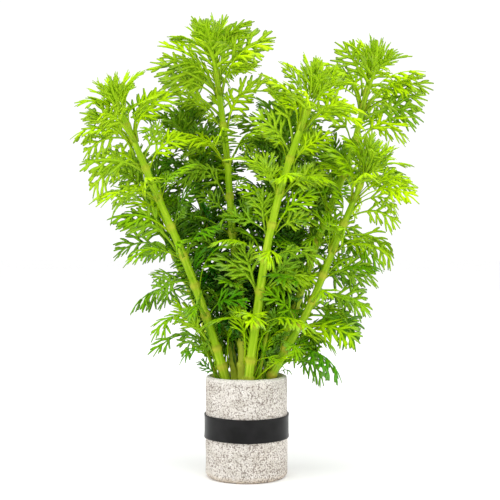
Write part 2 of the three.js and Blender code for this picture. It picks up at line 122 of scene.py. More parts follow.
# Rings without solids. tilt is in degrees from the stem, size is a share of the stem's longest leaf, and
# droop is how far a leaf hangs, as a share of its length. Two tilts are for the lowest and highest ring.
LOW_KNOTS = (0.55, 0.85)  # how far below the lowest ring, as shares of the way between two rings
HIGH_KNOT = 0.55  # as a share of the way from the highest ring to the stem's tip
RING_DEFAULTS = {"kind": "full", "arch": RING_ARCH, "droop": 0}
BESIDE_SOLIDS = {"rise": 14, "size": 0.78, "count": 2}  # rise is how much less they tilt than the solids
BETWEEN_SOLIDS = {"tilts": (56, 44), "size": 0.9, "arch": RISING_ARCH}
UNDER_CROWN = [
    (HIGH_KNOT, {"tilt": 48, "size": 0.8, "count": 5, "droop": 0.03, "arch": RISING_ARCH}),
    (0.2, {"tilt": 66, "size": 0.9, "count": 4, "droop": 0.08}),
]
UNDER_LOWEST = [
    (LOW_KNOTS[0], {"tilt": 28, "size": 0.95, "count": 5, "kind": "tall", "arch": 0.08}),
    (LOW_KNOTS[1], {"tilt": 18, "size": 0.9, "count": 5, "kind": "tall", "arch": 0.04}),
    (LOW_KNOTS[0], {"tilt": 75, "size": 0.5, "count": 2, "kind": "thread", "droop": 0.15}),
]
ON_SHOOT = {"tilts": (40, 20), "size": 0.8, "count": 2, "kind": "narrow", "arch": SHOOT_ARCH}
SHOOT_RINGS = (0.45, 0.6, 0.75, 0.88, 0.98)  # shares of a shoot's length, and so are the next two
SHOOT_KNOTS, SHOOT_TOP = (0.55, 0.75), 0.9
SHOOT_MESH = {"sides": 10, "spacing": 1.0, "swelling": 0.15}
SHOOT_AGE = 0.6

# A crown's small leaves, round it and in its bud, between limits.
CROWN_FILL = {
    "young": {"count": 8, "tilt": (14, 44), "size": (0.62, 0.84), "arch": 0.08, "age": 0.95},
    "bud": {"count": 12, "tilt": (2, 28), "size": (0.34, 0.56), "arch": -0.08, "age": 1.0},
}
YOUNG_SPREAD, BUD_PLACE = 0.02, 1.03  # where they grow, as shares of the stem's length: past its tip
TURN_STEP = 2.4  # radians round the stem from one leaf to the next

# Leaves that stand out in the photo, by stem: the height of the base, the pixel of the tip (across, down)
# and the arch.
LONG_LEAVES = {
    1: [
        (123, 83, 160, 0.2), (114, 93, 199, 0.24), (104, 110, 226, 0.24), (72, 152, 300, 0.15),
        (37, 195, 362, 0.1), (104, 176, 172, -0.05), (92, 186, 205, -0.05), (116, 160, 120, -0.05),
        (119, 79, 113, 0.16), (85, 113, 224, 0.2),
    ],
    2: [
        (143, 150, 62, 0.1), (148, 276, 37, 0.12), (145, 262, 66, 0.15), (136, 278, 94, 0.14),
        (134, 152, 100, 0.16), (140, 160, 84, 0.14), (112, 179, 190, 0.18), (122, 181, 160, 0.16),
        (122, 262, 158, 0.16), (129, 205, 112, 0.05), (129, 243, 116, 0.05), (104, 246, 176, 0.08),
        (96, 196, 192, 0.05), (96, 255, 196, 0.12),
    ],
    3: [
        (103, 250, 155, 0.08), (103, 331, 176, 0.16), (103, 262, 150, 0.02), (89, 216, 216, 0.14),
        (89, 319, 222, 0.16), (89, 263, 186, -0.05), (69, 214, 254, 0.12), (69, 238, 238, 0.02),
        (69, 302, 248, 0.06), (69, 313, 277, 0.16), (117, 252, 112, 0.08), (117, 262, 132, 0.1),
        (112, 322, 130, 0.12), (121, 266, 76, 0.06),
    ],
    4: [
        (135, 428, 101, 0.12), (127, 410, 142, 0.2), (132, 424, 122, 0.16), (60, 300, 368, 0.2),
    ],
    5: [
        (99, 399, 216, 0.3), (88, 393, 266, 0.25), (66, 371, 316, 0.22), (60, 356, 352, 0.25),
        (43, 324, 386, 0.3), (95, 400, 229, 0.26), (74, 378, 282, 0.2),
    ],
}


def chance(name):
    """A piece's own random generator, so that a change to one leaves the others as they are."""
    return np.random.default_rng(zlib.crc32(name.encode()))


def unit(vectors):
    return vectors / np.linalg.norm(vectors, axis=-1, keepdims=True)


def mix(a, b, share):
    return a + (b - a) * share


def seen_at(across, down, depth):
    """The place at a depth that the camera sees at a pixel."""
    scale = (CAMERA["distance"] + depth) * CAMERA["sensor"] / CAMERA["lens"] / PHOTO_SIDE
    across, down = across - PHOTO_SIDE / 2, down - PHOTO_SIDE / 2
    return np.array([CAMERA["x"] + across * scale, depth, CAMERA["height"] - down * scale])


class Line:
    """A stem's middle line, by shares of its length. It goes straight down into the plug."""

    STEPS = 40  # samples between two points of the route

    def __init__(self, route):
        route = np.array(route, float)
        foot = route[0] - (0, 0, SOCKET)
        knots = np.vstack([foot, route])
        knots = np.vstack([2 * knots[0] - knots[1], knots, 2 * knots[-1] - knots[-2]])
        places, slopes = [], []
        for i in range(1, len(knots) - 2):
            place, slope = self.span(knots[i - 1:i + 3], last=i == len(knots) - 3)
            places.append(place)
            slopes.append(slope)
        self.places = np.vstack(places)
        self.slopes = unit(np.vstack(slopes))
        steps = np.linalg.norm(np.diff(self.places, axis=0), axis=1)
        self.along = np.concatenate([[0], np.cumsum(steps)])
        self.length = self.along[-1]

    def span(self, knots, last):
        """The centripetal curve between the middle two of four knots."""
        a, b, c, d = knots
        before, across, after = (np.linalg.norm(q - p) ** 0.5 for p, q in zip(knots, knots[1:]))
        start = ((b - a) / before - (c - a) / (before + across) + (c - b) / across) * across
        end = ((c - b) / across - (d - b) / (across + after) + (d - c) / after) * across
        t = np.linspace(0, 1, self.STEPS + 1)[:, None]
        t = t if last else t[:-1]
        square, cube = -3 * b + 3 * c - 2 * start - end, 2 * b - 2 * c + start + end
        return b + start * t + square * t**2 + cube * t**3, start + 2 * square * t + 3 * cube * t**2

    def at(self, share):
        """The point, the direction and the two directions across, at one share or at many."""
        reach = np.asarray(share, float) * self.length
        point = np.stack([np.interp(reach, self.along, axis) for axis in self.places.T], -1)
        beyond = (reach - np.clip(reach, 0, self.length))[..., None]
        axis = unit(np.stack([np.interp(reach, self.along, part) for part in self.slopes.T], -1))
        side = unit(np.cross(axis, (0, 1, 0)))
        return point + axis * beyond, axis, side, np.cross(axis, side)

    def share_at(self, height):
        return np.interp(height, self.places[:, 2], self.along) / self.length

    def nearest(self, places):
        """How far each place is from the line, and from the line carried on past the tip."""
        run_on = self.places[-1] + self.slopes[-1] * np.linspace(0, 12, 25)[:, None]
        samples = np.vstack([self.places, run_on])
        return np.linalg.norm(places[:, None] - samples[None], axis=2).min(1)


def radius_at(stem, share):
    return stem["radius"] * mix(1, TIP_SHARE, share)


# Meshes


def new_object(name, data):
    made = bpy.data.objects.new(name, data)
    bpy.context.scene.collection.objects.link(made)
    return made


def add_piece(name, places, faces, material, nodes, fields=None):
    """A mesh object in the frame, from places in millimetres, which stands for CAD nodes."""
    mesh = bpy.data.meshes.new(name)
    places = np.asarray(places, np.float32) * MM
    faces = np.asarray(faces, np.int32)
    corners = faces.shape[1]
    mesh.vertices.add(len(places))
    mesh.vertices.foreach_set("co", places.ravel())
    mesh.loops.add(faces.size)
    mesh.loops.foreach_set("vertex_index", faces.ravel())
    mesh.polygons.add(len(faces))
    mesh.polygons.foreach_set("loop_start", np.arange(0, faces.size, corners, dtype=np.int32))
    mesh.update(calc_edges=True)
    mesh.polygons.foreach_set("use_smooth", np.ones(len(faces), bool))
    for field, values in (fields or {}).items():
        values = np.asarray(values, np.float32)
        vector = values.ndim == 2
        domain = "POINT" if len(values) == len(places) else "FACE"
        layer = mesh.attributes.new(field, "FLOAT_VECTOR" if vector else "FLOAT", domain)
        layer.data.foreach_set("vector" if vector else "value", values.ravel())
    mesh.materials.append(material)
    piece = new_object(name, mesh)
    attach(piece, "root")
    if nodes:
        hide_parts(*nodes)


def grid_faces(rows, columns, closed=False):
    """Four-sided faces of a grid whose rows run round. If closed, the last row joins the first."""
    row = np.arange(rows if closed else rows - 1)[:, None]
    column = np.arange(columns)[None]
    above, beside = (row + 1) % rows, (column + 1) % columns
    corners = [(row, column), (row, beside), (above, beside), (above, column)]
    corners = [np.broadcast_to(r * columns + c, (len(row), columns)) for r, c in corners]
    return np.stack(corners, -1).reshape(-1, 4)


def smooth_step(values, low, high):
    t = np.clip((values - low) / (high - low), 0, 1)
    return t * t * (3 - 2 * t)


def bell(values, middle, width):
    """How near values are to a middle, from 0 to 1, added up over each row."""
    return np.exp(-(((values - middle) / width) ** 2)).sum(1)


def lumps(spot, sizes):
    """The height of a rough surface at a place: waves of several sizes on each other."""
    return sum(noise.noise(spot * often) * height for often, height in sizes)


# Materials


class Paint:
    """A material's node tree, with short calls for the nodes that it takes."""

    def __init__(self, name):
        self.material = bpy.data.materials.new(name)
        self.material.use_nodes = True
        self.tree = self.material.node_tree
        self.shader = self.tree.nodes["Principled BSDF"]
        self.place = self.node("TexCoord").outputs["Object"]

    def node(self, kind):
        return self.tree.nodes.new("ShaderNode" + kind)

    def put(self, socket, value):
        if isinstance(value, bpy.types.NodeSocket):
            self.tree.links.new(value, socket)
        else:
            socket.default_value = value

    def set(self, **values):
        for name, value in values.items():
            self.put(self.shader.inputs[name.replace("_", " ")], value)

    def field(self, name, output="Fac"):
        node = self.node("Attribute")
        node.attribute_name = name
        return node.outputs[output]

    def stretch(self, vector, scale):
        node = self.node("Mapping")
        self.put(node.inputs["Vector"], vector)
        node.inputs["Scale"].default_value = scale
        return node.outputs["Vector"]

    def noise(self, scale, detail=3, vector=None):
        node = self.node("TexNoise")
        self.put(node.inputs["Vector"], vector or self.place)
        node.inputs["Scale"].default_value = scale
        node.inputs["Detail"].default_value = detail
        return node.outputs["Fac"]

    def cells(self, scale):
        """How far each place is from the nearest of points that are strewn at random."""
        node = self.node("TexVoronoi")
        self.put(node.inputs["Vector"], self.place)
        node.inputs["Scale"].default_value = scale
        return node.outputs["Distance"]

    def height(self):
        node = self.node("SeparateXYZ")
        self.put(node.inputs["Vector"], self.place)
        return node.outputs["Z"]

    def ramp(self, value, stops):
        node = self.node("ValToRGB")
        points = node.color_ramp.elements
        while len(points) < len(stops):
            points.new(0.5)
        for point, (at, colour) in zip(points, stops):
            point.position = at
            point.color = (*colour, 1) if isinstance(colour, tuple) else (colour, colour, colour, 1)
        self.put(node.inputs["Fac"], value)
        return node.outputs["Color"]

    def blend(self, share, a, b):
        node = self.node("Mix")
        node.data_type = "RGBA"
        self.put(node.inputs["Factor"], share)
        for socket, colour in (("A", a), ("B", b)):
            self.put(node.inputs[socket], (*colour, 1) if isinstance(colour, tuple) else colour)
        return node.outputs["Result"]

    def combine(self, kind, a, b):
        node = self.node("Math")
        node.operation = kind
        self.put(node.inputs[0], a)
        self.put(node.inputs[1], b)
        return node.outputs[0]

    def scaled(self, value, low, high, to_low=0.0, to_high=1.0):
        node = self.node("MapRange")
        for socket, given in zip(node.inputs, (value, low, high, to_low, to_high)):
            self.put(socket, given)
        return node.outputs["Result"]

    def bump(self, height, strength, distance):
        node = self.node("Bump")
        node.inputs["Strength"].default_value = strength
        node.inputs["Distance"].default_value = distance
        self.put(node.inputs["Height"], height)
        self.put(self.shader.inputs["Normal"], node.outputs["Normal"])


def ceramic_paint():
    paint = Paint("porous_ceramic")
    clay = paint.ramp(paint.noise(260, 4), [(0.3, (0.53, 0.49, 0.435)), (0.7, (0.69, 0.65, 0.6))])
    soiled = paint.scaled(paint.height(), 0.0002, 0.0025, 0.7, 0)
    clay = paint.blend(soiled, clay, (0.52, 0.4, 0.27))
    stain = paint.scaled(paint.noise(90, 2), 0.52, 0.72, 0, 0.2)
    clay = paint.blend(stain, clay, (0.6, 0.5, 0.4))
    grains = paint.noise(1250, 2)
    clay = paint.blend(paint.scaled(grains, 0.54, 0.66, 0, 0.6), clay, (0.8, 0.77, 0.73))
    # painted shade: the pores are painted dark, as the shade in these small hollows
    open_share = paint.scaled(paint.noise(110, 2), 0.35, 0.65, -0.09, 0.04)
    pores = paint.combine("ADD", open_share, paint.cells(1900))
    clay = paint.blend(paint.scaled(pores, 0.5, 0.66, 0, 0.85), clay, (0.2, 0.165, 0.14))
    # painted shade: darker where the mesh has pits
    clay = paint.blend(paint.scaled(paint.field("pit"), 0, 1, 0, 0.3), clay, (0.2, 0.165, 0.135))
    # painted light: the clay is painted paler at the rim's top, lifting the shade on the inner wall under the
    # leaves
    rim = paint.scaled(paint.height(), 0.0345, 0.0362, 0, 0.55)
    clay = paint.blend(rim, clay, (0.8, 0.77, 0.72))
    paint.set(Base_Color=clay, Roughness=0.95)
    paint.bump(paint.combine("SUBTRACT", grains, pores), 0.6, 0.0004)
    return paint.material


def rubber_paint():
    paint = Paint("black_rubber")
    smudge = paint.noise(180, 4)
    black = paint.ramp(smudge, [(0.35, (0.004, 0.004, 0.004)), (0.75, (0.012, 0.0115, 0.012))])
    sheen = paint.scaled(smudge, 0.3, 0.7, 0.28, 0.4)
    paint.set(Base_Color=black, Roughness=sheen, Specular_IOR_Level=0.14)
    lines = paint.noise(60, 2, paint.stretch(paint.place, (1, 1, 60)))
    paint.bump(lines, 0.15, 0.0001)
    return paint.material


def wool_paint():
    paint = Paint("mineral_wool")
    fibres = paint.noise(900, 5, paint.stretch(paint.place, (1, 0.3, 1)))
    brown = paint.ramp(fibres, [(0.3, (0.09, 0.075, 0.04)), (0.7, (0.34, 0.3, 0.19))])
    paint.set(Base_Color=brown, Roughness=1.0)
    paint.bump(fibres, 0.8, 0.0006)
    return paint.material


def stem_paint():
    paint = Paint("stem_skin")
    grain = paint.field("grain", "Vector")
    streaks = paint.noise(0.9, 2, paint.stretch(grain, (1, 1, 0.08)))
    deep, plain, light = (0.15, 0.31, 0.002), (0.27, 0.45, 0.003), (0.45, 0.61, 0.03)
    green = paint.ramp(streaks, [(0.3, deep), (0.5, plain), (0.7, light)])
    patches = paint.scaled(paint.noise(0.12, 2, grain), 0.4, 0.7, 0, 0.45)
    green = paint.blend(patches, green, (0.26, 0.46, 0.003))
    green = paint.blend(paint.field("shade"), green, (0.08, 0.22, 0.004))
    tan = paint.blend(paint.noise(1.5, 3, grain), (0.6, 0.54, 0.05), (0.47, 0.33, 0.04))
    green = paint.blend(paint.field("node"), green, tan)
    worn = paint.scaled(paint.noise(0.8, 2, grain), 0.35, 0.6, 0.35, 0.95)
    ring = paint.combine("MULTIPLY", paint.field("ring"), worn)
    green = paint.blend(ring, green, (0.24, 0.2, 0.015))
    # painted light: the feet of the stems behind the pot's middle, which stand in shade, are painted pale
    foot = paint.scaled(paint.height(), 0.04, 0.08, 0.9, 0)
    painted_foot_light = paint.combine("MULTIPLY", paint.field("inner"), foot)
    green = paint.blend(painted_foot_light, green, (0.84, 0.96, 0.08))
    scars = paint.scaled(paint.noise(0.9, 4, paint.stretch(grain, (1, 1, 0.5))), 0.68, 0.75, 0, 0.6)
    green = paint.blend(scars, green, (0.3, 0.26, 0.06))
    paint.set(Base_Color=green, Roughness=0.45, Specular_IOR_Level=0.12)
    paint.bump(streaks, 0.2, 0.0002)
    return paint.material


def leaf_paint():
    paint = Paint("leaf_green")
    # painted shade: the leaf's age here also holds painted shade, darker in the middle of the bunch and on
    # the stems at the back
    freshness_and_shade = paint.field("age")
    grain = paint.noise(700, 2)
    freshness_and_shade = paint.combine("ADD", freshness_and_shade, paint.scaled(grain, 0.3, 0.7, -0.06, 0.06))
    deep, dark = (0.001, 0.034, 0.0004), (0.026, 0.22, 0.001)
    fresh, pale = (0.23, 0.47, 0.001), (0.52, 0.79, 0.002)
    green = paint.ramp(freshness_and_shade, [(0, deep), (0.33, dark), (0.66, fresh), (0.96, pale)])
    stalk = paint.combine("MULTIPLY", paint.field("stalk"), paint.scaled(freshness_and_shade, 0.2, 0.7, 0.15, 1))
    green = paint.blend(stalk, green, (0.3, 0.46, 0.004))
    under = paint.scaled(paint.field("under"), 0, 1, 0, 0.35)
    green = paint.blend(under, green, (0.2, 0.38, 0.04))
    tip = paint.field("tip")
    # painted highlight: a grey-green sheen painted on some lobe tips
    painted_tip_sheen = paint.combine("MULTIPLY", paint.scaled(paint.noise(130, 1), 0.5, 0.7, 0, 0.55), tip)
    green = paint.blend(painted_tip_sheen, green, (0.25, 0.44, 0.16))
    dry = paint.scaled(paint.combine("POWER", tip, 4), 0, 1, 0, 0.6)
    green = paint.blend(dry, green, (0.09, 0.13, 0.015))
    paint.set(Base_Color=green, Roughness=0.5, Specular_IOR_Level=0.06)
    return paint.material


# The pot and what is in it


def lathe(profile, columns):
    """Places of a profile of (radius, height) points turned round the Z axis, and the turns."""
    turns = np.linspace(0, 2 * np.pi, columns, endpoint=False)
    radius, height = np.array(profile, float).T
    across, aside = np.outer(radius, np.cos(turns)), np.outer(radius, np.sin(turns))
    return np.stack([across, aside, height[:, None] + 0 * turns], -1), turns


def arc(centre, bend, start, end, steps):
    angles = np.radians(np.linspace(start, end, steps))
    return [(centre[0] + bend * np.cos(a), centre[1] + bend * np.sin(a)) for a in angles]


def pot_profile(step=0.3):
    """The cup's section from the middle of its underside round to the middle of its floor."""
    radius, height = POT["radius"], POT["height"]
    foot, rim, inner = POT["foot"], POT["rim"], POT["radius"] - POT["wall"]
    underside = [(r, 0) for r in (0.01, 4, 8, 11)]
    wall = [(radius, z) for z in np.arange(foot + step, height - rim, step)]
    lining = [(inner, z) for z in np.arange(height - rim, POT["floor"], -1.2)]
    floor = [(r, POT["floor"]) for r in (inner - 1, 8, 4, 0.01)]
    return [
        *underside,
        *arc((radius - foot, foot), foot, -90, 0, 11),
        *wall,
        *arc((radius - rim, height - rim), rim, 0, 90, 8),
        *arc((inner + rim, height - rim), rim, 90, 180, 8),
        *lining[1:],
        *floor,
    ]


def pot_outward(places):
    """The direction out of the clay at places on the cup: straight out on its wall, slanted at its ends."""
    middle, straight = 18, 16
    from_middle = places - (0, 0, middle)
    level = np.abs(from_middle[:, 2:3]) <= straight
    outward = unit(np.where(level, places * (1, 1, 0), from_middle) + 1e-9)
    in_wall, in_floor = POT["radius"] - 1.6, 3
    radial = np.hypot(places[:, 0], places[:, 1])
    outward[(radial < in_wall) & (places[:, 2] > in_floor)] *= -1
    return outward


def pore_at(spot):
    """How deep a pore is at a place, as a share."""
    often, far = PORE_SHIFT
    warped = spot + noise.noise_vector(spot * often) * far
    near = noise.voronoi(warped / PORES["size"])[0][0]
    fine = noise.voronoi(warped / PORES["fine"] + Vector((7, 3, 5)))[0][0]
    opened = PORES["open"] + PORES["differ"] * lumps(spot, PORE_PATCHES)
    return max(1 - near / opened, FINE_DEPTH * (1 - fine / (opened * FINE_OPEN)), 0)


def make_pot():
    profile = pot_profile()
    flat = lathe(profile, POT_COLUMNS)[0].reshape(-1, 3)
    outward = pot_outward(flat)
    seen = smooth_step(np.hypot(flat[:, 0], flat[:, 1]), *PORES_FROM)
    spots = [Vector(place) for place in flat]
    pit = smooth_step(np.array([pore_at(spot) for spot in spots]), 0, FULL_PORE) * seen
    lump = np.array([lumps(spot, POT_LUMPS) for spot in spots])
    flat += outward * ((lump + POT_SWELL) * seen - PORES["depth"] * pit)[:, None]
    flat[:, 2] = np.maximum(flat[:, 2], 0)
    faces = grid_faces(len(profile), POT_COLUMNS)
    add_piece("pot_cup", flat, faces, ceramic_paint(), ["pot"], {"pit": pit})


def make_band():
    """A stretched strip that turns out a little along both edges."""
    inner = POT["radius"] - 0.05
    bottom, top, thick = BAND["bottom"], BAND["top"], BAND["thickness"]
    flare, lip, wave = BAND_EDGE["flare"], BAND_EDGE["lip"], BAND_EDGE["wave"]
    heights = np.linspace(bottom, top, 15)
    edge = np.abs(2 * (heights - bottom) / (top - bottom) - 1) ** 6
    bulge = flare * edge
    outside = [(inner + thick + b, z) for b, z in zip(bulge, heights)]
    inside = [(inner + b, z) for b, z in zip(bulge, heights)][::-1]
    for end in (0, -1):
        outside[end] = (outside[end][0] - lip, outside[end][1])
    profile = [*outside, *inside]
    places, turns = lathe(profile, BAND_COLUMNS)
    places[..., 2] += wave * np.sin(turns * 2 + 0.6) + wave * np.sin(turns * 5)
    places[..., :2] *= (1 + BAND_OVAL * np.sin(turns * 3 + 1))[None, :, None]
    faces = grid_faces(len(profile), BAND_COLUMNS, closed=True)
    add_piece("rubber_band", places.reshape(-1, 3), faces, rubber_paint(), ["band"])


def make_wool():
    """The plug: a ragged top over plain sides."""
    top, bottom, radius = WOOL["top"], WOOL["top"] - WOOL["depth"], WOOL["radius"]
    sides = [(radius, z) for z in np.linspace(bottom, top - 0.6, 12)]
    cover = [(r, top) for r in np.linspace(radius - 0.5, 0.01, 30)]
    profile = [(0.01, bottom), *sides, *cover]
    flat = lathe(profile, WOOL_COLUMNS)[0].reshape(-1, 3)
    for place in flat:
        place[2] += lumps(Vector(place), WOOL_LUMPS) * smooth_step(place[2], bottom + 8, top)
    faces = grid_faces(len(profile), WOOL_COLUMNS)
    add_piece("wool_plug", flat, faces, wool_paint(), ["planting_wool"])


# Stems


def ring_shares(stem):
    """Where a stem's knots are: at the CAD's rings, and at those between, below and above them."""
    solid = [mix(stem["lowest"], TOP_WHORL, row / (WHORLS - 1)) for row in range(WHORLS)]
    step = solid[1] - solid[0]
    rings, _ = stem["between"]
    places = np.arange(1, rings + 1) / (rings + 1)
    between = [share + step * place for share in solid[:-1] for place in places]
    low = [solid[0] - step * below for below in LOW_KNOTS]
    return solid, [*between, *low, mix(TOP_WHORL, 1, HIGH_KNOT)]


# A knot, its lip, the groove above it, its tan part and the scar of its leaves: how far up, and how wide.
KNOT, LIP, GROOVE = (0, 1.3), (0.6, 0.5), (1.9, 0.5)
TAN, SCAR = (-0.3, 1.1), (0.9, 0.45)
LIP_HEIGHT, GROOVE_DEPTH = 0.3, 0.07  # as shares of the swelling, and of the stem's radius
TIP_WIDTH = 0.35  # of the last ring of points before the tip's own
TAN_SHARE, TAN_AT_TIP = (0.5, 0.95), 0.3
SCAR_SHARE, SCAR_SHIFT = (0.5, 1), (0.6, 1.4)
SHADE, SHADE_BY_AGE = 0.25, 1.6  # painted shade: how dark a stem's skin is painted at an age of 0, and what its age takes off, so the stems at the back are darkest
INNER_DEPTH = 2  # how far behind the pot's middle a stem's foot gets the full painted light that lifts its shade
RIBS = [(9, 0.012), (3, 0.02)]  # how many round a stem, and how high


def stem_mesh(stem, line, nodes, sides=22, spacing=0.45, swelling=0.24):
    """A tube with fine ribs, swollen where leaves grow, closed at both ends."""
    rng = chance("stem%.2f" % stem["line"][0][0])
    shares = np.arange(0, line.length, spacing) / line.length
    shares = np.append(shares, 1)
    point, _, side, out = line.at(shares)
    turns = np.linspace(0, 2 * np.pi, sides, endpoint=False)
    apart = (shares[:, None] - np.array(nodes)[None]) * line.length
    knot, lip, groove = (bell(apart, *place) for place in (KNOT, LIP, GROOVE))
    waist = 1 + swelling * knot + LIP_HEIGHT * swelling * lip - GROOVE_DEPTH * groove
    waist[-1] *= TIP_WIDTH
    radius = radius_at(stem, shares) * waist
    ribs = 1 + sum(high * np.cos(turns * many + rng.uniform(0, 6)) for many, high in RIBS)
    radial = radius[:, None] * ribs[None]
    across, aside = radial * np.cos(turns), radial * np.sin(turns)
    places = point[:, None] + across[..., None] * side[:, None] + aside[..., None] * out[:, None]
    along = np.broadcast_to((shares * line.length)[:, None], radial.shape)
    grain = np.stack([across, aside, along], -1)
    tan = bell(apart, *TAN) * rng.uniform(*TAN_SHARE) * mix(1, TAN_AT_TIP, shares)
    scar = bell(apart, SCAR[0] * rng.uniform(*SCAR_SHIFT), SCAR[1]) * rng.uniform(*SCAR_SHARE)
    places = np.vstack([places.reshape(-1, 3), line.at(0)[0], line.at(1)[0]])
    fields = {
        "grain": np.vstack([grain.reshape(-1, 3), [(0, 0, 0), (0, 0, line.length)]]),
        "node": np.append(np.repeat(tan, sides), [0, 0]),
        "ring": np.append(np.repeat(scar, sides), [0, 0]),
        "shade": np.full(len(places), np.clip(SHADE - stem["age"] * SHADE_BY_AGE, 0, 1)),
        "inner": np.full(len(places), np.clip(stem["line"][0][1] / INNER_DEPTH, 0, 1)),
    }
    faces = grid_faces(len(shares), sides)
    past = radial.size
    turn = np.arange(sides)
    following = (turn + 1) % sides
    foot = np.stack([np.full(sides, past), following, turn], -1)
    tip = np.stack([np.full(sides, past + 1), turn - sides + past, following - sides + past], -1)
    return places, np.vstack([faces[:, [0, 1, 2]], faces[:, [0, 2, 3]], foot, tip]), fields


# Leaves


class Blades:
    """Thin closed blades with a three-sided section, gathered into one mesh with what the paint reads."""

    RIDGE = 0.7  # how high the ridge on top is, as a share of the half width

    def __init__(self):
        self.parts = {name: [] for name in ("places", "faces", "under", "tip", "stalk")}
        self.count = 0

    def put(self, **arrays):
        for name, array in arrays.items():
            self.parts[name].append(array)

    def add(self, path, widths, tip, stalk, hang=0.0):
        """One blade along a path of (along, aside), with half widths and what the paint reads there."""
        path = np.asarray(path, float)
        widths = np.asarray(widths, float)
        heading = unit(np.gradient(path, axis=0))
        aside = np.stack([-heading[:, 1], heading[:, 0]], -1) * widths[:, None]
        left = np.column_stack([path + aside, 0 * widths])
        right = np.column_stack([path - aside, 0 * widths])
        top = np.column_stack([path, self.RIDGE * widths])
        places = np.stack([left, right, top], 1).reshape(-1, 3)
        reach = places[:, 1].copy()
        places[:, 1] = reach * np.cos(hang)
        places[:, 2] -= np.abs(reach) * np.sin(hang)
        rows = len(path)
        tip, stalk = (np.repeat(np.broadcast_to(values, rows), 3) for values in (tip, stalk))
        self.put(places=places, tip=tip, stalk=stalk)
        start = self.count + 3 * np.arange(rows - 1)
        l0, r0, t0 = start, start + 1, start + 2
        l1, r1, t1 = start + 3, start + 4, start + 5
        sides = [(l0, l1, r1), (l0, r1, r0), (r0, r1, t1), (r0, t1, t0), (t0, t1, l1), (t0, l1, l0)]
        for number, corners in enumerate(sides):
            self.put(faces=np.stack(corners, -1), under=np.full(rows - 1, float(number < 2)))
        first, last = self.count, self.count + 3 * (rows - 1)
        ends = [(first, first + 1, first + 2), (last, last + 2, last + 1)]
        self.put(faces=np.array(ends), under=np.zeros(2))
        self.count += 3 * rows

    def done(self):
        return {name: np.concatenate(arrays) for name, arrays in self.parts.items()}


def bent_path(start, angle, turn, length, steps):
    """A flat path that starts at an angle to the midrib and turns by turn on its way."""
    shares = np.linspace(0, 1, steps)
    middles = (shares[1:] + shares[:-1]) / 2
    angles = angle + turn * middles
    strides = np.column_stack([np.cos(angles), np.sin(angles)]) * (length / (steps - 1))
    return np.vstack([start, start + np.cumsum(strides, 0)])


# Leaf patterns, in shares of the leaf's length. Each feather is (where it leaves the midrib, its length,
# its angle in degrees, how many lobes it has). width is half the midrib's, the pale stalk ends at stalk,
# and the midrib starts inside the stem, at start. hang is how steeply feathers hang, in degrees, and differ
# how much that differs. The tall pattern's last entry is what it adds to a leaf's age, as painted light: it
# paints these low leaves lighter against the painted shade of the bunch.
PATTERNS = {
    "full": {
        "feathers": [(0.3, 0.33, 54, 1), (0.43, 0.4, 50, 2), (0.58, 0.36, 44, 2), (0.74, 0.25, 36, 1)],
        "width": 0.024, "stalk": 0.35, "start": -0.09, "hang": 20, "differ": 30,
    },
    "tall": {
        "feathers": [(0.45, 0.3, 42, 1), (0.56, 0.34, 38, 2), (0.68, 0.28, 34, 2), (0.81, 0.18, 30, 0)],
        "width": 0.019, "stalk": 0.5, "start": -0.09, "hang": 10, "differ": 25, "fresher_and_lit": 0.2,
    },
    "young": {
        "feathers": [(0.32, 0.42, 30, 1), (0.5, 0.38, 25, 1), (0.7, 0.25, 20, 0)],
        "width": 0.027, "stalk": 0.3, "start": -0.06, "hang": 0, "differ": 22,
    },
    "bud": {
        "feathers": [(0.34, 0.4, 30, 1), (0.58, 0.32, 25, 0)],
        "width": 0.037, "stalk": 0.2, "start": -0.1, "hang": -10, "differ": 12,
    },
    "narrow": {
        "feathers": [(0.3, 0.26, 44, 1), (0.44, 0.32, 40, 1), (0.58, 0.28, 36, 1), (0.73, 0.2, 30, 0)],
        "width": 0.024, "stalk": 0.5, "start": -0.08, "hang": 10, "differ": 20,
    },
    "thread": {
        "feathers": [(0.4, 0.3, 38, 0), (0.6, 0.26, 34, 0)],
        "width": 0.019, "stalk": 0.6, "start": -0.08, "hang": 10, "differ": 10,
    },
}
WIDEST = 54  # the widest angle of a feather: the turns below are for this one, and less for others
FORWARD = 18  # degrees by which feathers turn towards the leaf's tip on their way
LOBE_SPAN = (0.22, 0.52)  # where a feather's first and last lobe leave it, as shares of its length
LOBE_ANGLE = (24, 36)  # degrees between a lobe and its feather, at first
LOBE_TURN = 14  # degrees by which a lobe turns back along its feather
LOBE_REACH = (0.72, 0.98)  # how near a lobe comes to its feather's end, as a share of the way
ONE_LOBE = 0.38  # where the only lobe of a feather leaves it

# Widths on the way to the tip, and how brown the skin is there.
FEATHER_WIDTHS, FEATHER_TIP = [1.5, 1.25, 1.1, 1, 1, 0.55], [0, 0, 0, 0.2, 0.5, 1]
LOBE_WIDTHS, LOBE_TIP = [0.85, 1, 1.05, 0.95, 0.55], [0, 0.2, 0.4, 0.7, 1]
MIDRIB_WIDTHS = [(-0.1, 0.1, 0.35, 0.85, 0.95, 1), (1.3, 0.85, 1.1, 1, 0.95, 0.5)]
MIDRIB_TIP = [(0, 0.75, 1), (0, 0.1, 1)]


